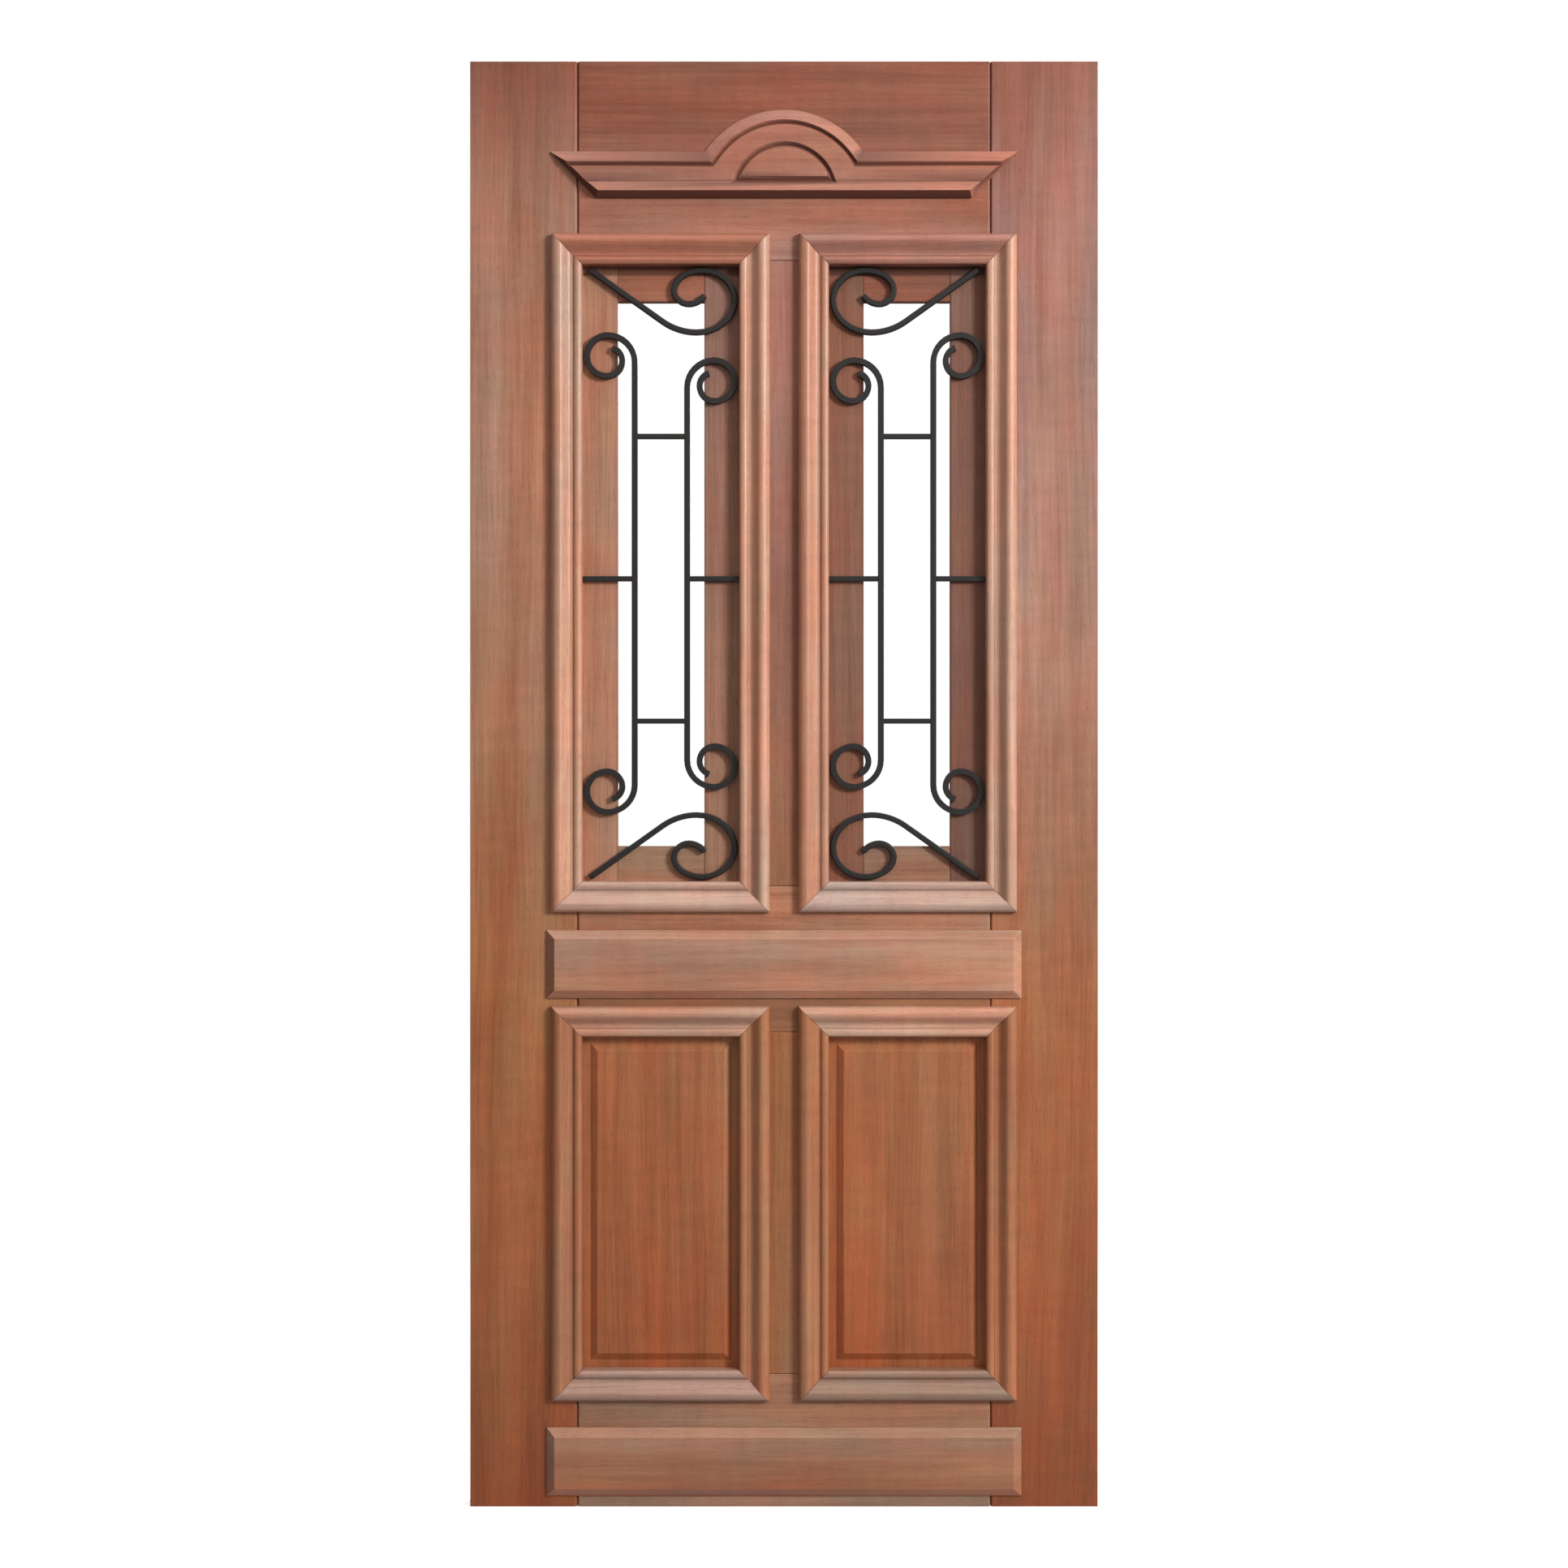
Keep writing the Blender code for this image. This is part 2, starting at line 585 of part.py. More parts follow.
def make_grille(name, centre_x, mirror):
    """Make the ironwork of one light; mirror is 1 for the left light and -1 for the right."""
    half_width = OPENING_WIDTH / 2 - MOULDING_SIGHT
    half_height = LIGHT_HEIGHT / 2 - MOULDING_SIGHT
    extent = half_width - IRON_CLEARANCE - BAR_SIZE / 2
    place = (centre_x, INFILL_FRONT - IRON_SETOFF, LIGHT_FOOT + LIGHT_HEIGHT / 2)
    reach = extent - LONG_BAR_OFFSET
    radii = [(extent * across, extent * upright) for across, upright in CORNER_SHARES]
    crown = IRON_CLEARANCE + BAR_SIZE / 2 + radii[0][1] + radii[1][1] - half_height
    inner_straight = -crown - INNER_SCROLL_GAP - reach * SCROLL_SHARES[0][1]

    outer = long_bar_points(-LONG_BAR_OFFSET, inner_straight + OUTER_BAR_EXTRA, -1, reach)
    bars = add_piece(f"{name}_bars", bar_along(outer, mirror), iron, place)
    square_up(bars)
    inner = long_bar_points(LONG_BAR_OFFSET, inner_straight, 1, reach)
    inner_bar = add_tool(f"{name}_inner_bar", bar_along(inner, mirror), place)
    square_up(inner_bar)

    front = -(BAR_SIZE + STAY_SIZE) / 2
    half = STAY_SIZE / 2
    for label, level in (("upper", 1), ("lower", -1)):
        height = level * inner_straight * CROSS_BAR_SHARE - CROSS_BAR_DROP
        low = (-LONG_BAR_OFFSET, front, height - half)
        high = (LONG_BAR_OFFSET, front + STAY_SIZE, height + half)
        combine(bars, add_tool(f"{name}_{label}_cross_bar", box_between(low, high), place), "UNION")
    combine(bars, inner_bar, "UNION")
    for label, side in (("left", -1), ("right", 1)):
        ends = sorted((side * LONG_BAR_OFFSET, side * (half_width - STAY_CLEARANCE)))
        low = (ends[0], front, -CROSS_BAR_DROP - half)
        high = (ends[1], front + STAY_SIZE, -CROSS_BAR_DROP + half)
        combine(bars, add_tool(f"{name}_{label}_stay", box_between(low, high), place), "UNION")

    bend = extent * CORNER_BEND_SHARE
    crown_point = Vector((extent - radii[0][0], crown))
    bend_start = crown_point - Vector((math.sin(CORNER_ANGLE), 1 - math.cos(CORNER_ANGLE))) * bend
    start_x = -extent + CORNER_START_INSET
    run = (bend_start.x - start_x) * math.tan(CORNER_ANGLE)
    line = [Vector((start_x, bend_start.y - run)), bend_start]
    for i in range(1, ARC_STEPS):
        angle = CORNER_ANGLE * (1 - i / ARC_STEPS)
        line.append(crown_point - Vector((math.sin(angle), 1 - math.cos(angle))) * bend)
    line.append(crown_point)
    line += quarter_turns(crown_point, (1, 0), -1, radii, CORNER_TIP_SWEEP)
    for label, level in (("top", -1), ("bottom", 1)):
        points = [Vector((x, level * z)) for x, z in line]
        square_up(add_piece(f"{name}_{label}_scroll", bar_along(points, mirror), iron, place))


def make_door():
    """Build every piece of the leaf."""
    make_framing()
    half_pitch = (OPENING_WIDTH + MULLION_WIDTH) / 2
    for side, centre_x, mirror in (
        ("left", CENTRE_X - half_pitch, 1),
        ("right", CENTRE_X + half_pitch, -1),
    ):
        make_panel(f"{side}_panel", centre_x)
        make_sash(f"{side}_sash", centre_x)
        make_grille(f"{side}_grille", centre_x, mirror)
        for kind, foot, height, lip_depth in (
            ("light", LIGHT_FOOT, LIGHT_HEIGHT, SASH_BACK_SETBACK),
            (
                "panel",
                BOTTOM_RAIL_HEIGHT,
                PANEL_OPENING_HEIGHT,
                LEAF_THICKNESS - INFILL_SETBACK - PANEL_THICKNESS,
            ),
        ):
            make_surround(
                f"{side}_{kind}_moulding", centre_x, foot, height, moulding_profile(), MOULDING_SIGHT, -1
            )
            make_surround(
                f"{side}_{kind}_back_bead",
                centre_x,
                foot,
                height,
                back_bead_profile(lip_depth),
                BACK_BEAD_SIGHT,
                1,
            )
    make_block("middle_block", MIDDLE_RAIL_FOOT + MIDDLE_BLOCK_ABOVE_RAIL_FOOT)
    make_block("bottom_block", BOTTOM_BLOCK_ABOVE_RAIL_FOOT)
    make_cornice()


clear_scene()
door = make_collection("wooden_door")
cutters = make_collection("cutters")
red_wood = make_material("red_brown_wood", (0.38, 0.18, 0.12), 0.50)
brown_wood = make_material("brown_wood", (0.42, 0.20, 0.12), 0.50)
iron = make_material("black_iron", (0.03, 0.03, 0.03), 0.45, 0.6)
leaf = bpy.data.objects.new("leaf_foot", None)
leaf.location = (0.0, 0.0, -LEAF_HEIGHT / 2)
door.objects.link(leaf)
make_door()
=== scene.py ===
"""Looks of a panelled wooden door leaf with two open lights behind scrolled ironwork.

Lengths are in metres, +Z is up and the front of the leaf faces -Y. Each board of the leaf is a smoothed
copy of its solid, with worn arrises, the run of its grain, the tone of its timber, its dark joints and
painted shade kept on its points; some boards' tones hold painted sheen and shade.
"""
import math
import random

import bmesh
import bpy
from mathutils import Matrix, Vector


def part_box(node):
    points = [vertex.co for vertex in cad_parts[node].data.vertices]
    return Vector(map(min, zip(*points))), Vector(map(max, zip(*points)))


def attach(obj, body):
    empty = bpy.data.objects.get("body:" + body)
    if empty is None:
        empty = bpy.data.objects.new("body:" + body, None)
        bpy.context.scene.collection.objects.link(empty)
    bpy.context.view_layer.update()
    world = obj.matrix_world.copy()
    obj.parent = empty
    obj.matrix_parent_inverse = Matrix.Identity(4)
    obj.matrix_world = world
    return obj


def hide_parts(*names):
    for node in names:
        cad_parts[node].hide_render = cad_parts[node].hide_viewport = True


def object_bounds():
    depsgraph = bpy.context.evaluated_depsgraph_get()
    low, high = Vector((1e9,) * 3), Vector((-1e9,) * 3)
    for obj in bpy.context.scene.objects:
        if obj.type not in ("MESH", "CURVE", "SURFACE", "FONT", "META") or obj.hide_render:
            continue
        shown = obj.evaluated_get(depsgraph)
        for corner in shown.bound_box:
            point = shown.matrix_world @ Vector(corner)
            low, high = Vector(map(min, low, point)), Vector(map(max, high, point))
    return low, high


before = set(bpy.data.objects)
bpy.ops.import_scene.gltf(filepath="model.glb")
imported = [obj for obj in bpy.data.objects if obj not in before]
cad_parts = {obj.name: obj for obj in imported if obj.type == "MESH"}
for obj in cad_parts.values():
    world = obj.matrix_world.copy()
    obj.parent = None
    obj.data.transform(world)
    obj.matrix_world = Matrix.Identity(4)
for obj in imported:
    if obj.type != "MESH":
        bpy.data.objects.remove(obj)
cad_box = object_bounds()

# Smoothing of the solids
MERGE_DISTANCE = 0.000002
FLAT_ANGLE = math.radians(0.4)
FLAT_SHARP_ANGLE = math.radians(12)
CURVE_ANGLE = math.radians(2)
CURVE_SHARP_ANGLE = math.radians(34)
CURVE_SHARE = 32
CURVE_SEGMENTS = 2

# Widths of the rounded arrises and inner corners
FRAME_ARRIS = 0.0009
PANEL_ARRIS = 0.0006
BLOCK_ARRIS = 0.0005
CORNICE_ARRIS = 0.0005
MOULDING_ARRIS = 0.0004
SASH_ARRIS = 0.0005
IRON_ARRIS = 0.0018
ARRIS_SEGMENTS = 3
CORNER_WIDTH = 0.0012
CORNER_SEGMENTS = 2

# Camera
PICTURE_WIDTH = 2.1479
CAMERA_DISTANCE = 3.2
SENSOR_WIDTH = 36.0

# Light
LAMP_COLOUR = (1.0, 0.985, 0.965)
KEY_DIRECTION = Vector((1.05, -1.0, 0.5))
KEY_DISTANCE = 5.4
KEY_SIZE = 1.4
KEY_POWER = 278.0
BACK_DIRECTION = Vector((0.55, 1.3, 0.6))
BACK_DISTANCE = 5.0
BACK_SIZE = 2.2
BACK_POWER = 190.0
FILL_SIDE = (0.6, -0.3, 0.6)
FILL_DIM = 0.04
FILL_BRIGHT = 0.7
FILL_COLOUR = (1.0, 0.905, 0.84, 1.0)
SKY_SHEEN = 3.0
SKY_SHEEN_CLIMB = 0.7
WHITE = (1.0, 1.0, 1.0, 1.0)

# Floor
FLOOR_RADIUS = 2.6
FLOOR_SIDES = 96
FLOOR_COLOUR = (0.84, 0.9, 0.96, 1.0)
FLOOR_DULLNESS = 0.7
FLOOR_GLOW = 0.56
FLOOR_FADE_START = 0.3
FLOOR_FADE_END = 0.97

# Tones of the timber, as paint chips in display values; some boards take paler or darker tones as painted
# sheen and shade
TONES = {
    "umber": (130, 70, 40),
    "walnut": (116, 82, 70),
    "cocoa": (126, 87, 71),
    "russet": (129, 80, 63),
    "nut": (143, 95, 67),
    "chestnut": (136, 92, 78),
    "plum": (141, 100, 88),
    "dun": (142, 111, 92),
    "cedar": (148, 84, 50),
    "tan": (149, 104, 74),
    "clay": (149, 99, 80),
    "honey": (159, 106, 69),
    "amber": (160, 107, 73),
    "brick": (159, 108, 88),
    "dusk": (161, 109, 91),
    "mauve": (157, 115, 104),
    "thistle": (151, 111, 103),
    "straw": (153, 117, 94),
    "oat": (160, 118, 99),
    "rose": (164, 130, 117),
    "fawn": (170, 126, 103),
    "buff": (177, 135, 113),
    "sand": (188, 146, 124),
    "ash": (182, 155, 142),
}

# Grain of the timber: which way it runs, and how it differs from board to board
ALONG_LEAF = "upright"
ACROSS_LEAF = "level"
GRAIN_SEED = 11
GRAIN_TILT = 0.5
GRAIN_SPREAD = 9.0

# Figure of each kind of board: ribbons in a metre, depth of the ribbons and of the streaks, and dullness
FRAME_FIGURE = (30.0, 0.5, 0.34, 0.5)
MOULDING_FIGURE = (60.0, 0.28, 0.34, 0.42)
BLOCK_FIGURE = (26.0, 0.5, 0.28, 0.44)
CORNICE_FIGURE = (34.0, 0.46, 0.3, 0.42)
PANEL_FIGURE = (48.0, 0.46, 0.32, 0.5)
SASH_FIGURE = (50.0, 0.36, 0.42, 0.5)

# Marks in the timber: how many come in a metre across, through and along the grain
WANDER_SCALE = (5.0, 5.0, 0.9)
FLECK_SCALE = (260.0, 110.0, 15.0)
FIBRE_SCALE = (1700.0, 700.0, 38.0)
PORE_SCALE = (2100.0, 900.0, 105.0)
CLOUD_SCALE = (9.0, 9.0, 4.0)
RIPPLE_SCALE = (16.0, 16.0, 60.0)
BLUSH_SCALE = (13.0, 13.0, 1.6)
MOTTLE_SCALE = (24.0, 24.0, 9.0)
RUBBED_SCALE = (60.0, 60.0, 12.0)
RIBBON_THROUGH = 0.4
RIBBON_ALONG = 1.3
STREAK_ACROSS = 7
STREAK_THROUGH = 3
STREAK_ALONG = 6.5
WANDER_REACH = 0.05

# Values of noise between which a mark goes from none to full
NOISE_MIDDLE = 0.5
RIBBON_RANGE = (0.32, 0.68)
STREAK_RANGE = (0.3, 0.7)
FLECK_RANGE = (0.56, 0.72)
PORE_RANGE = (0.6, 0.72)
PATCH_RANGE = (0.34, 0.66)
RUBBED_RANGE = (0.4, 0.62)

# Tints of the marks over the tone of a board, and their strengths
BLUSH_WARM = (1.05, 0.93, 0.85, 1.0)
BLUSH_COOL = (0.98, 1.05, 1.1, 1.0)
MOTTLE_WARM = (1.04, 0.95, 0.94, 1.0)
MOTTLE_COOL = (0.97, 1.04, 1.04, 1.0)
FIGURE_LIGHT = (1.2, 1.23, 1.26)
FIGURE_DARK = (0.7, 0.62, 0.57)
FLECK_TINT = (0.72, 0.62, 0.56)
FLECK_STRENGTH = 0.3
PORE_TINT = (0.45, 0.36, 0.32)
PORE_STRENGTH = 0.5
RUBBED_TINT = (1.16, 1.2, 1.24)
RUBBED_STRENGTH = 0.45
DIRT_AND_SHADE_TINT = (0.26, 0.2, 0.18)
DIRT_AND_SHADE_STRENGTH = 0.85
PAINTED_SHADE_TINT = (0.2, 0.13, 0.13)
CLOUD_SHADE = 0.6
RIPPLE_SHADE = 0.24
FIBRE_SHADE = 0.26

# Gloss and relief of the timber
BARE_COAT = 0.06
PLANTED_COAT = 0.4
COAT_DULLNESS = 0.4
TIMBER_SPECULAR = 0.24
STREAK_DULLNESS = 0.07
PORE_DULLNESS = 0.16
CLOUD_DULLNESS = 0.14
FIBRE_DULLNESS = 0.1
DIRT_AND_SHADE_DULLNESS = 0.2
STREAK_RELIEF = 0.3
FIBRE_RELIEF = 0.55
PORE_RELIEF = 0.9
TIMBER_BUMP = {"Strength": 0.32, "Distance": 0.0004}

# Dark joints where the framing boards meet, and painted shade along the sash's inner edges: their reach
# and fade from a side, and their strengths
X_AXIS = 0
Z_AXIS = 2
SIDE_REACH = 0.0008
SIDE_FADE = 0.0028
TOP_RAIL_JOINT = 1.0
STILE_JOINT = 0.7
LOWER_RAIL_JOINT = 0.4
# Painted shade along the sash's inner edges, deeper on the edges that face away from the key light
SASH_SHADED_EDGE_SHADE = 0.8
SASH_LIT_EDGE_SHADE = 0.35
# Painted shadow on the sash under the lower edge of the moulding above: its reach down from that edge, and
# its fade
LIP_REACH = 0.010
LIP_FADE = 0.004

# Painted shade on faces turned away from the key light, under the cornice and on the left ends of the
# blocks: the side they face, where it starts and is full, and its strength
CORNICE_PAINTED_SHADE = ((-0.62, 0.0, -0.78), 0.4, 0.75, 0.95)
BLOCK_PAINTED_SHADE = ((-1.0, 0.0, -0.2), 0.25, 0.55, 0.45)

# Black paint of the ironwork
HAMMERED_SCALE = (210.0, 210.0, 210.0)
SPECK_SCALE = (1500.0, 1500.0, 1500.0)
THIN_SCALE = (70.0, 70.0, 70.0)
THIN_RANGE = (0.46, 0.64)
PAINT_LOW = (7, 7, 8)
PAINT_HIGH = (20, 19, 19)
PAINT_THIN = (46, 43, 41)
THIN_STRENGTH = 0.6
THIN_METAL = 0.5
THIN_SHINE = 0.08
PAINT_DULLNESS = 0.42
HAMMERED_DULLNESS = 0.22
SPECK_DULLNESS = 0.1
HAMMERED_RELIEF = 0.8
SPECK_RELIEF = 0.2
PAINT_SPECULAR = 0.28
PAINT_BUMP = {"Strength": 0.4, "Distance": 0.0006}


def chip(red, green, blue):
    """Return the linear colour of a paint chip given as display values from 0 to 255."""
    linear = []
    for value in (red, green, blue):
        share = value / 255
        linear.append(share / 12.92 if share <= 0.04045 else ((share + 0.055) / 1.055) ** 2.4)
    return tuple(linear)


class Field:
    """A number that varies over a surface. Arithmetic on it adds Math nodes."""

    def __init__(self, socket):
        self.socket = socket

    def _math(self, operation, *values):
        node = self.socket.id_data.nodes.new("ShaderNodeMath")
        node.operation = operation
        for entry, value in zip(node.inputs, values):
            plug(entry, value)
        return Field(node.outputs[0])

    def __add__(self, other):
        return self._math("ADD", self, other)

    __radd__ = __add__

    def __sub__(self, other):
        return self._math("SUBTRACT", self, other)

    def __rsub__(self, other):
        return self._math("SUBTRACT", other, self)

    def __mul__(self, other):
        return self._math("MULTIPLY", self, other)

    __rmul__ = __mul__


def plug(entry, value):
    """Link a field to a socket, or set the socket's own value."""
    if isinstance(value, Field):
        entry.id_data.links.new(value.socket, entry)
    else:
        entry.default_value = value


class Finish:
    """The nodes of one material, or of the surroundings."""

    def __init__(self, owner):
        owner.use_nodes = True
        self.owner = owner
        self.tree = owner.node_tree
        self.tree.nodes.clear()

    def add(self, kind, settings=None, entries=None, output=0):
        """Add a node, its settings first and then its sockets, and return one of its outputs."""
        node = self.tree.nodes.new(kind)
        for name, value in (settings or {}).items():
            setattr(node, name, value)
        for key, value in (entries or {}).items():
            plug(node.inputs[key], value)
        return Field(node.outputs[output]) if node.outputs else None

    def kept(self, name, output="Fac"):
        """Return what is kept on the points of a piece under a name."""
        return self.add("ShaderNodeAttribute", {"attribute_name": name}, None, output)

    def noise(self, place, stretch, detail=2.0, roughness=0.5):
        """Return noise on a place that is stretched by a scale for each axis."""
        scaled = self.tint(place, stretch)
        entries = {"Vector": scaled, "Scale": 1.0, "Detail": detail, "Roughness": roughness}
        return self.add("ShaderNodeTexNoise", {"noise_dimensions": "3D"}, entries)

    def ease(self, value, low, high, start=0.0, end=1.0):
        """Return a value eased from start to end as it goes from low to high."""
        entries = {0: value, 1: low, 2: high, 3: start, 4: end}
        return self.add("ShaderNodeMapRange", {"interpolation_type": "SMOOTHSTEP"}, entries)

    def blend(self, factor, first, second):
        """Return a colour between two colours."""
        settings = {"data_type": "RGBA", "blend_type": "MIX"}
        return self.add("ShaderNodeMix", settings, {0: factor, 6: first, 7: second}, 2)

    def scale(self, colour, factor):
        """Return a colour made lighter or darker."""
        return self.add("ShaderNodeVectorMath", {"operation": "SCALE"}, {0: colour, "Scale": factor})

    def tint(self, colour, other):
        """Return a colour or a place multiplied by another."""
        return self.add("ShaderNodeVectorMath", {"operation": "MULTIPLY"}, {0: colour, 1: other})

    def toward(self, direction, side):
        """Return how far a direction points to a side."""
        settings = {"operation": "DOT_PRODUCT"}
        return self.add("ShaderNodeVectorMath", settings, {0: direction, 1: side}, "Value")

    def surface(self, entries):
        """Give the material a Principled surface."""
        shader = self.add("ShaderNodeBsdfPrincipled", None, entries)
        self.add("ShaderNodeOutputMaterial", None, {"Surface": shader})
        return self.owner


def timber(name, stripe, ribbon_depth, streak_depth, dullness, coat=BARE_COAT, painted_shade=None):
    """Make a satin timber finish; stripe is how many ribbons of figure cross a metre of board."""
    wood = Finish(bpy.data.materials.new(name))
    grain = wood.kept("grain", "Vector")
    tone = wood.kept("tone", "Vector")
    arris = wood.kept("arris")
    dirt_and_shade = wood.kept("dirt_and_shade")

    wander = wood.noise(grain, WANDER_SCALE)
    drift = wood.add("ShaderNodeCombineXYZ", None, {0: (wander - NOISE_MIDDLE) * WANDER_REACH})
    run = wood.add("ShaderNodeVectorMath", {"operation": "ADD"}, {0: grain, 1: drift})

    ribbons = (stripe, stripe * RIBBON_THROUGH, RIBBON_ALONG)
    ribbon = wood.ease(wood.noise(run, ribbons, detail=3.0, roughness=0.6), *RIBBON_RANGE)
    streaks = (stripe * STREAK_ACROSS, stripe * STREAK_THROUGH, STREAK_ALONG)
    streak = wood.ease(wood.noise(run, streaks, detail=4.0, roughness=0.62), *STREAK_RANGE)
    fleck = wood.ease(wood.noise(run, FLECK_SCALE), *FLECK_RANGE)
    fibre = wood.noise(run, FIBRE_SCALE)
    pore = wood.ease(wood.noise(run, PORE_SCALE, detail=1.0), *PORE_RANGE)
    cloud = wood.noise(grain, CLOUD_SCALE, detail=3.0)
    ripple = wood.noise(grain, RIPPLE_SCALE)
    blush = wood.ease(wood.noise(grain, BLUSH_SCALE), *PATCH_RANGE)
    mottle = wood.ease(wood.noise(grain, MOTTLE_SCALE), *PATCH_RANGE)

    ground = wood.tint(tone, wood.blend(blush, BLUSH_WARM, BLUSH_COOL))
    ground = wood.tint(ground, wood.blend(mottle, MOTTLE_WARM, MOTTLE_COOL))
    light = wood.tint(ground, FIGURE_LIGHT)
    dark = wood.tint(ground, FIGURE_DARK)
    plain_depth = (1 - ribbon_depth - streak_depth) * NOISE_MIDDLE
    depth = ribbon * ribbon_depth + streak * streak_depth + plain_depth
    colour = wood.blend(depth, dark, light)
    shade = (cloud - NOISE_MIDDLE) * CLOUD_SHADE + (ripple - NOISE_MIDDLE) * RIPPLE_SHADE
    shade = shade + (fibre - NOISE_MIDDLE) * FIBRE_SHADE + 1.0
    colour = wood.scale(colour, shade)
    colour = wood.blend(fleck * FLECK_STRENGTH, colour, wood.tint(colour, FLECK_TINT))
    colour = wood.blend(pore * PORE_STRENGTH, colour, wood.tint(colour, PORE_TINT))
    rubbed = arris * wood.ease(wood.noise(grain, RUBBED_SCALE, detail=3.0), *RUBBED_RANGE)
    colour = wood.blend(rubbed * RUBBED_STRENGTH, colour, wood.tint(tone, RUBBED_TINT))
    # Darker at the dark joints, and where shade is painted in creases, along sash edges and under lips
    colour = wood.blend(dirt_and_shade * DIRT_AND_SHADE_STRENGTH, colour, wood.tint(tone, DIRT_AND_SHADE_TINT))
    # Painted shade on the faces that turn toward a side away from the key light
    if painted_shade:
        side, start, end, strength = painted_shade
        facing = wood.add("ShaderNodeNewGeometry", None, None, "Normal")
        painted_shade_share = wood.ease(wood.toward(facing, side), start, end) * strength
        colour = wood.blend(painted_shade_share, colour, wood.tint(tone, PAINTED_SHADE_TINT))

    dull = dullness + (1 - streak) * STREAK_DULLNESS + pore * PORE_DULLNESS
    dull = dull + (cloud - NOISE_MIDDLE) * CLOUD_DULLNESS + (fibre - NOISE_MIDDLE) * FIBRE_DULLNESS
    relief = streak * STREAK_RELIEF + fibre * FIBRE_RELIEF - pore * PORE_RELIEF
    entries = {
        "Base Color": colour,
        "Roughness": dull + dirt_and_shade * DIRT_AND_SHADE_DULLNESS,
        "Specular IOR Level": TIMBER_SPECULAR,
        "Coat Weight": coat,
        "Coat Roughness": COAT_DULLNESS,
        "Normal": wood.add("ShaderNodeBump", None, {**TIMBER_BUMP, "Height": relief}),
    }
    return wood.surface(entries)


def painted_iron():
    """Make the satin black paint of forged bars, rubbed thin along their arrises."""
    paint = Finish(bpy.data.materials.new("black_painted_iron"))
    place = paint.add("ShaderNodeTexCoord", None, None, "Object")
    arris = paint.kept("arris")
    hammered = paint.noise(place, HAMMERED_SCALE, detail=3.0, roughness=0.55)
    specks = paint.noise(place, SPECK_SCALE)
    thin = arris * paint.ease(paint.noise(place, THIN_SCALE, detail=3.0), *THIN_RANGE)
    colour = paint.blend(hammered, (*chip(*PAINT_LOW), 1.0), (*chip(*PAINT_HIGH), 1.0))
    colour = paint.blend(thin * THIN_STRENGTH, colour, (*chip(*PAINT_THIN), 1.0))
    dull = hammered * HAMMERED_DULLNESS + specks * SPECK_DULLNESS + PAINT_DULLNESS - thin * THIN_SHINE
    relief = hammered * HAMMERED_RELIEF + specks * SPECK_RELIEF
    entries = {
        "Base Color": colour,
        "Roughness": dull,
        "Metallic": thin * THIN_METAL,
        "Specular IOR Level": PAINT_SPECULAR,
        "Normal": paint.add("ShaderNodeBump", None, {**PAINT_BUMP, "Height": relief}),
    }
    return paint.surface(entries)


def bevel_edges(bm, edges, width, segments, measure="OFFSET"):
    """Round some edges and return what the operator made."""
    return bmesh.ops.bevel(
        bm,
        geom=edges,
        offset=width,
        offset_type=measure,
        segments=segments,
        profile=0.5,
        affect="EDGES",
        material=-1,
        clamp_overlap=measure == "OFFSET",
    )


def mark_middles(made, layer):
    """Mark the points in the middle of rounded edges."""
    rounded = set(made["faces"])
    for vert in made["verts"]:
        if all(face in rounded for face in vert.link_faces):
            vert[layer] = 1.0


def cut_across(bm, axis, place, tolerance=0.0):
    """Cut new edges into a board along a plane square to an axis, without moving its surface."""
    on_plane = [0.0, 0.0, 0.0]
    on_plane[axis] = place
    facing = [0.0, 0.0, 0.0]
    facing[axis] = 1.0
    geom = [*bm.verts, *bm.edges, *bm.faces]
    bmesh.ops.bisect_plane(bm, geom=geom, dist=tolerance, plane_co=on_plane, plane_no=facing)


def smoothed(node, curved=False):
    """Return a merged bmesh copy of a solid, with its curves rounder where asked."""
    bm = bmesh.new()
    bm.from_mesh(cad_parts[node].data)
    bmesh.ops.remove_doubles(bm, verts=bm.verts, dist=MERGE_DISTANCE)
    bmesh.ops.dissolve_limit(bm, angle_limit=FLAT_ANGLE, verts=bm.verts, edges=bm.edges)
    if curved:
        edges = [e for e in bm.edges if CURVE_ANGLE < e.calc_face_angle(0.0) < CURVE_SHARP_ANGLE]
        bevel_edges(bm, edges, CURVE_SHARE, CURVE_SEGMENTS, "PERCENT")
    return bm


def wear_arrises(bm, width, sharp):
    """Round the sharp outer edges and mark the middle of each as worn."""
    worn = bm.verts.layers.float.new("arris")
    edges = [e for e in bm.edges if e.is_manifold and e.is_convex and e.calc_face_angle(0.0) > sharp]
    mark_middles(bevel_edges(bm, edges, width, ARRIS_SEGMENTS), worn)


def add_piece(name, bm, finish, node):
    """Show a bmesh as a piece that stands for a solid."""
    for face in bm.faces:
        face.smooth = True
    for edge in bm.edges:
        edge.smooth = edge.calc_face_angle(0.0) < CURVE_SHARP_ANGLE
    mesh = bpy.data.meshes.new(name)
    bm.to_mesh(mesh)
    bm.free()
    piece = bpy.data.objects.new(name, mesh)
    piece.data.materials.append(finish)
    bpy.context.scene.collection.objects.link(piece)
    flats = piece.modifiers.new("flat_faces", "WEIGHTED_NORMAL")
    flats.mode = "FACE_AREA"
    flats.keep_sharp = True
    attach(piece, "root")
    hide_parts(node)


def tone_at(tones, height):
    """Return the timber's colour at a height, between the (height, colour) tones from foot to head."""
    below = tones[0]
    for above in tones:
        if above[0] >= height:
            share = (height - below[0]) / max(above[0] - below[0], MERGE_DISTANCE)
            return below[1].lerp(above[1], min(max(share, 0.0), 1.0))
        below = above
    return below[1]


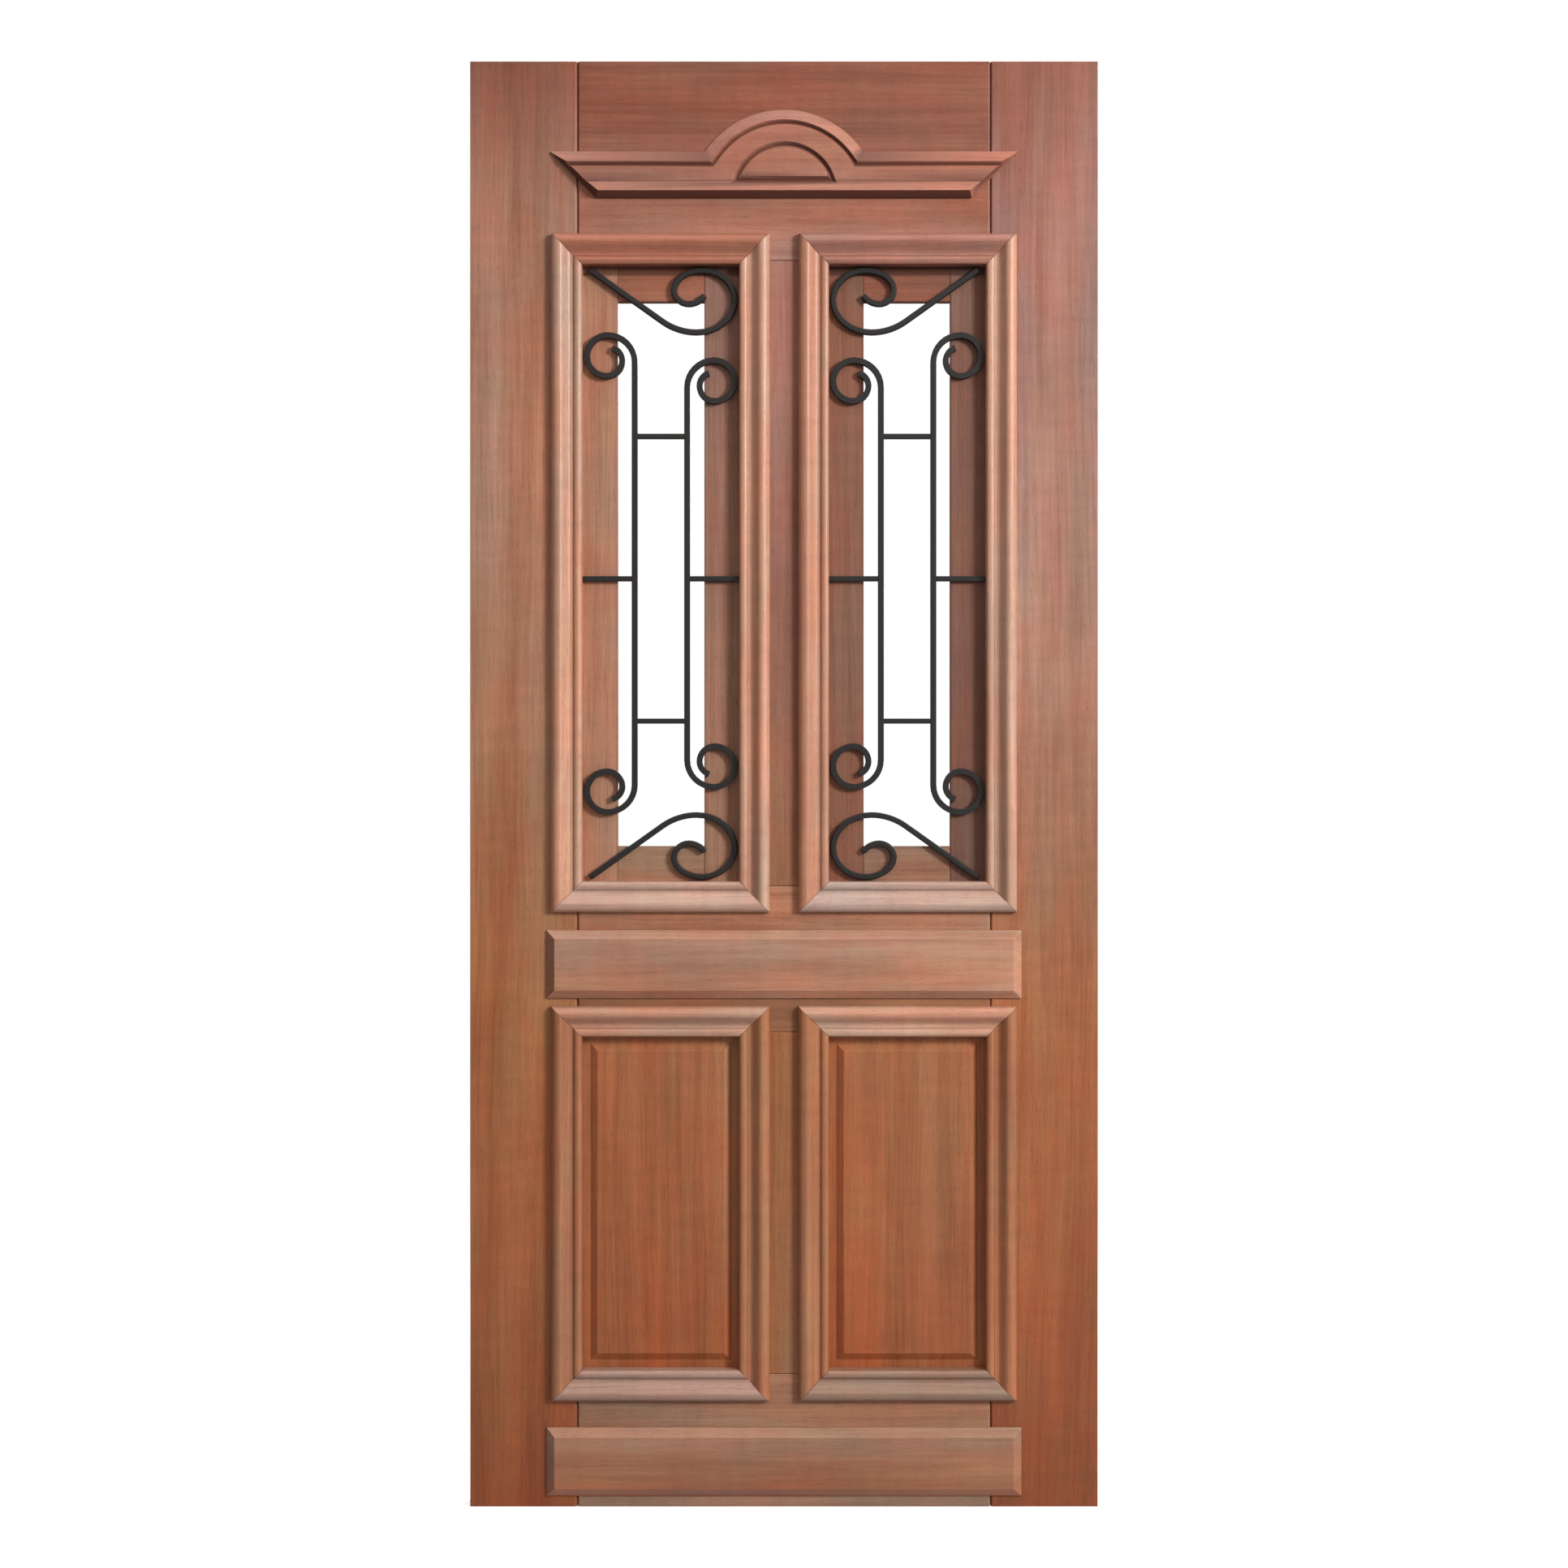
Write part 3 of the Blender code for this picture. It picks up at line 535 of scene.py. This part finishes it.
def lay_grain(bm, direction, stops):
    """Keep the run of the grain and the tone of the timber on the points of a board."""
    low = min(vert.co.z for vert in bm.verts)
    high = max(vert.co.z for vert in bm.verts)
    tones = [(low + (high - low) * share, Vector(chip(*TONES[name]))) for share, name in stops]
    for height, _ in tones[1:-1]:
        cut_across(bm, Z_AXIS, height)
    grain = bm.verts.layers.float_vector.new("grain")
    tone = bm.verts.layers.float_vector.new("tone")
    tilt = chance.uniform(-GRAIN_TILT, GRAIN_TILT)
    start = Vector([chance.uniform(0.0, GRAIN_SPREAD) for _ in range(3)])
    for vert in bm.verts:
        x, y, z = vert.co
        across, along = (x, z) if direction == ALONG_LEAF else (z, x)
        vert[grain] = start + Vector((across + tilt * y, y - tilt * across, along))
        vert[tone] = tone_at(tones, z)


def darken_sides(bm, dirt_and_shade, sides):
    """Mark dark joints where boards meet, and painted shade along the sash's inner edges."""
    worn = bm.verts.layers.float["arris"]
    for axis, side, inward, strength in sides:
        cut_across(bm, axis, side + inward * SIDE_FADE)
        for vert in bm.verts:
            if (vert.co[axis] - side) * inward < SIDE_REACH:
                vert[dirt_and_shade] = strength
                vert[worn] = 0.0


def darken_corners(bm, dirt_and_shade, sharp, width):
    """Round the inner corners, if a width is given, and mark them with painted shade in the creases."""
    edges = [e for e in bm.edges if e.is_manifold and not e.is_convex and e.calc_face_angle(0.0) > sharp]
    if width:
        mark_middles(bevel_edges(bm, edges, width, CORNER_SEGMENTS), dirt_and_shade)
        return
    for edge in edges:
        for vert in edge.verts:
            vert[dirt_and_shade] = 1.0


def paint_lip_shadow(bm, dirt_and_shade, lip):
    """Paint a shadow on the front of a sash member where it goes under the moulding above."""
    edge = lip - LIP_REACH
    for height in (edge, edge - LIP_FADE):
        cut_across(bm, Z_AXIS, height, MERGE_DISTANCE)
    depths = [vert.co.y for vert in bm.verts]
    middle = (min(depths) + max(depths)) / 2
    for vert in bm.verts:
        if vert.co.z > edge - SIDE_REACH and vert.co.y < middle:
            vert[dirt_and_shade] = 1.0


def board(
    node, finish, direction, tones, arris, curved=False, sides=(), corner=CORNER_WIDTH, lip=None
):
    """Make a board; sides are the (axis, place, way inward, strength) of its dark joints and painted
    shade.
    """
    sharp = CURVE_SHARP_ANGLE if curved else FLAT_SHARP_ANGLE
    bm = smoothed(node, curved)
    # Marks of the dark joints and of the painted shade, kept on the points
    dirt_and_shade = bm.verts.layers.float.new("dirt_and_shade")
    wear_arrises(bm, arris, sharp)
    darken_corners(bm, dirt_and_shade, sharp, corner)
    lay_grain(bm, direction, tones)
    darken_sides(bm, dirt_and_shade, sides)
    if lip:
        paint_lip_shadow(bm, dirt_and_shade, lip)
    add_piece(f"{node}_board", bm, finish, node)


def rise(foot, head):
    """Return the tones of a board that runs from one at its foot to one at its head."""
    return ((0.0, foot), (1.0, head))


def make_framing(framing):
    """Make the stiles, the rails and the mullions."""
    inner_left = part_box("left_stile")[1].x
    inner_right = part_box("right_stile")[0].x
    # The stiles pale and turn greyer up the leaf from a dark foot: painted sheen and light over the
    # timber's own tone
    left_tones = ((0.0, "umber"), (0.35, "honey"), (0.66, "fawn"), (0.88, "oat"), (1.0, "russet"))
    right_tones = ((0.0, "umber"), (0.35, "amber"), (0.66, "rose"), (0.88, "thistle"), (1.0, "chestnut"))
    top_tones = ((0.0, "mauve"), (0.25, "clay"), (0.6, "russet"), (1.0, "russet"))
    middle_tones = ((0.0, "nut"), (0.3, "nut"), (1.0, "fawn"))
    upper_tones = ((0.0, "nut"), (0.5, "chestnut"), (1.0, "mauve"))
    crisp, faint = (
        ((X_AXIS, inner_left, 1, strength), (X_AXIS, inner_right, -1, strength))
        for strength in (TOP_RAIL_JOINT, LOWER_RAIL_JOINT)
    )
    for node, direction, tones, sides in (
        ("left_stile", ALONG_LEAF, left_tones, ((X_AXIS, inner_left, -1, STILE_JOINT),)),
        ("right_stile", ALONG_LEAF, right_tones, ((X_AXIS, inner_right, 1, STILE_JOINT),)),
        ("top_rail", ACROSS_LEAF, top_tones, crisp),
        ("middle_rail", ACROSS_LEAF, middle_tones, faint),
        ("bottom_rail", ACROSS_LEAF, rise("dun", "straw"), faint),
        ("upper_mullion", ALONG_LEAF, upper_tones, ()),
        ("lower_mullion", ALONG_LEAF, rise("tan", "honey"), ()),
    ):
        board(node, framing, direction, tones, FRAME_ARRIS, sides=sides)


def make_panels(panelling):
    """Make the two raised and fielded panels."""
    for node in ("left_panel", "right_panel"):
        board(node, panelling, ALONG_LEAF, rise("cedar", "amber"), PANEL_ARRIS)


def make_planted_boards(blocking, crowning):
    """Make the two blocks and the cornice."""
    for node, tones in (
        ("middle_block", rise("fawn", "fawn")),
        ("bottom_block", ((0.0, "cedar"), (0.25, "nut"), (1.0, "straw"))),
    ):
        board(node, blocking, ACROSS_LEAF, tones, BLOCK_ARRIS)
    tones = rise("dusk", "dusk")
    board("cornice", crowning, ACROSS_LEAF, tones, CORNICE_ARRIS, corner=0.0)


def make_mouldings(planted):
    """Make the mouldings round the lights and panels, and the beads behind them."""
    runs = {"bottom": ACROSS_LEAF, "left": ALONG_LEAF, "top": ACROSS_LEAF, "right": ALONG_LEAF}
    # The bottom members, and the top members round the panels, take pale greyish tones: painted sheen from
    # above
    for kind, edge, left_tone, right_tone in (
        ("light", "bottom", "ash", "ash"),
        ("light", "left", "sand", "buff"),
        ("light", "top", "brick", "mauve"),
        ("light", "right", "sand", "sand"),
        ("panel", "bottom", "rose", "dun"),
        ("panel", "left", "tan", "amber"),
        ("panel", "top", "buff", "sand"),
        ("panel", "right", "amber", "amber"),
    ):
        for node, tone in (
            (f"left_{kind}_moulding_{edge}", left_tone),
            (f"left_{kind}_back_bead_{edge}", left_tone),
            (f"right_{kind}_moulding_{edge}", right_tone),
            (f"right_{kind}_back_bead_{edge}", right_tone),
        ):
            tones = rise(tone, tone)
            board(node, planted, runs[edge], tones, MOULDING_ARRIS, curved=True)


def make_sashes(inner):
    """Make the sashes behind the ironwork."""
    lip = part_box("left_light_moulding_top")[0].z
    # The members take darker tones toward the right and the top: painted shade where the mouldings shade
    # them
    for node, tones in (
        ("left_sash_left_stile", rise("fawn", "fawn")),
        ("left_sash_right_stile", rise("straw", "plum")),
        ("left_sash_top_rail", rise("clay", "clay")),
        ("left_sash_bottom_rail", rise("straw", "straw")),
        ("right_sash_left_stile", rise("cocoa", "cocoa")),
        ("right_sash_right_stile", rise("walnut", "walnut")),
        ("right_sash_top_rail", rise("russet", "russet")),
        ("right_sash_bottom_rail", rise("dun", "dun")),
    ):
        low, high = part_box(node)
        direction, side = {
            "left_stile": (ALONG_LEAF, (X_AXIS, high.x, -1, SASH_LIT_EDGE_SHADE)),
            "right_stile": (ALONG_LEAF, (X_AXIS, low.x, 1, SASH_SHADED_EDGE_SHADE)),
            "top_rail": (ACROSS_LEAF, (Z_AXIS, low.z, 1, SASH_SHADED_EDGE_SHADE)),
            "bottom_rail": (ACROSS_LEAF, (Z_AXIS, high.z, -1, SASH_LIT_EDGE_SHADE)),
        }[node.split("_sash_")[1]]
        board(node, inner, direction, tones, SASH_ARRIS, sides=(side,), lip=lip)


def make_boards():
    """Make every wooden piece of the leaf."""
    framing = timber("satin_framing_timber", *FRAME_FIGURE)
    planted = timber("satin_moulding_timber", *MOULDING_FIGURE, PLANTED_COAT)
    blocking = timber("satin_block_timber", *BLOCK_FIGURE, PLANTED_COAT, BLOCK_PAINTED_SHADE)
    crowning = timber("satin_cornice_timber", *CORNICE_FIGURE, PLANTED_COAT, CORNICE_PAINTED_SHADE)
    panelling = timber("satin_panel_timber", *PANEL_FIGURE)
    inner = timber("satin_sash_timber", *SASH_FIGURE)
    make_framing(framing)
    make_panels(panelling)
    make_planted_boards(blocking, crowning)
    make_mouldings(planted)
    make_sashes(inner)


def make_ironwork():
    """Make the bars and scrolls of the two lights."""
    paint = painted_iron()
    for side in ("left", "right"):
        for part in ("bars", "top_scroll", "bottom_scroll"):
            node = f"{side}_grille_{part}"
            bm = smoothed(node)
            wear_arrises(bm, IRON_ARRIS, CURVE_SHARP_ANGLE)
            add_piece(f"{node}_iron", bm, paint, node)


def make_camera():
    """Make the camera straight in front of the leaf and return the middle of the leaf."""
    data = bpy.data.cameras.new("camera")
    data.sensor_width = SENSOR_WIDTH
    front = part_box("left_stile")[0].y
    data.lens = SENSOR_WIDTH * (CAMERA_DISTANCE + front) / PICTURE_WIDTH
    camera = bpy.data.objects.new("camera", data)
    centre = (cad_box[0] + cad_box[1]) / 2
    camera.location = (centre.x, -CAMERA_DISTANCE, centre.z)
    camera.rotation_euler = (math.pi / 2, 0.0, 0.0)
    bpy.context.scene.collection.objects.link(camera)
    bpy.context.scene.camera = camera
    return centre


def add_lamp(name, centre, direction, distance, size, power):
    """Make a round soft light that faces the leaf from a direction."""
    data = bpy.data.lights.new(name, "AREA")
    data.shape = "DISK"
    data.size = size
    data.energy = power
    data.color = LAMP_COLOUR
    lamp = bpy.data.objects.new(name, data)
    lamp.location = centre + direction.normalized() * distance
    lamp.rotation_euler = direction.to_track_quat("Z", "Y").to_euler()
    bpy.context.scene.collection.objects.link(lamp)


def make_light(centre):
    """Make a soft key light above and to the right and a soft light behind, in pale even surroundings."""
    add_lamp("key_light", centre, KEY_DIRECTION, KEY_DISTANCE, KEY_SIZE, KEY_POWER)
    add_lamp("back_light", centre, BACK_DIRECTION, BACK_DISTANCE, BACK_SIZE, BACK_POWER)

    world = bpy.data.worlds.new("pale_room")
    bpy.context.scene.world = world
    bpy.context.scene.view_settings.view_transform = "Standard"
    room = Finish(world)
    seen = room.add("ShaderNodeLightPath", None, None, "Is Camera Ray")
    outward = room.add("ShaderNodeTexCoord", None, None, "Generated")
    climb = room.add("ShaderNodeSeparateXYZ", None, {0: outward}, 2)
    strength = room.ease(room.toward(outward, FILL_SIDE), -1.0, 1.0, FILL_DIM, FILL_BRIGHT)
    glossy = room.add("ShaderNodeLightPath", None, None, "Is Glossy Ray")
    strength = strength + glossy * room.ease(climb, 0.0, SKY_SHEEN_CLIMB, 0.0, SKY_SHEEN)
    fill = room.add("ShaderNodeBackground", None, {"Color": FILL_COLOUR, "Strength": strength})
    backdrop = room.add("ShaderNodeBackground", None, {"Color": WHITE, "Strength": 1.0})
    mixed = room.add("ShaderNodeMixShader", None, {0: seen, 1: fill, 2: backdrop})
    room.add("ShaderNodeOutputWorld", None, {"Surface": mixed})


def make_floor(centre):
    """Make a round pale floor that fades out into the surroundings."""
    middle = (centre.x, 0.0, cad_box[0].z)
    bm = bmesh.new()
    bmesh.ops.create_circle(bm, cap_ends=True, segments=FLOOR_SIDES, radius=FLOOR_RADIUS)
    bmesh.ops.translate(bm, verts=bm.verts, vec=middle)
    mesh = bpy.data.meshes.new("pale_floor")
    bm.to_mesh(mesh)
    bm.free()
    floor = bpy.data.objects.new("pale_floor", mesh)
    bpy.context.scene.collection.objects.link(floor)
    pale = Finish(bpy.data.materials.new("pale_floor"))
    place = pale.add("ShaderNodeTexCoord", None, None, "Object")
    away = pale.add("ShaderNodeVectorMath", {"operation": "DISTANCE"}, {0: place, 1: middle}, "Value")
    fade_start = FLOOR_RADIUS * FLOOR_FADE_START
    fade_end = FLOOR_RADIUS * FLOOR_FADE_END
    entries = {
        "Base Color": FLOOR_COLOUR,
        "Roughness": FLOOR_DULLNESS,
        "Alpha": pale.ease(away, fade_start, fade_end, 1.0, 0.0),
        "Emission Color": WHITE,
        "Emission Strength": FLOOR_GLOW,
    }
    floor.data.materials.append(pale.surface(entries))
    floor.visible_diffuse = False


chance = random.Random(GRAIN_SEED)
centre = make_camera()
make_light(centre)
make_floor(centre)
make_boards()
make_ironwork()
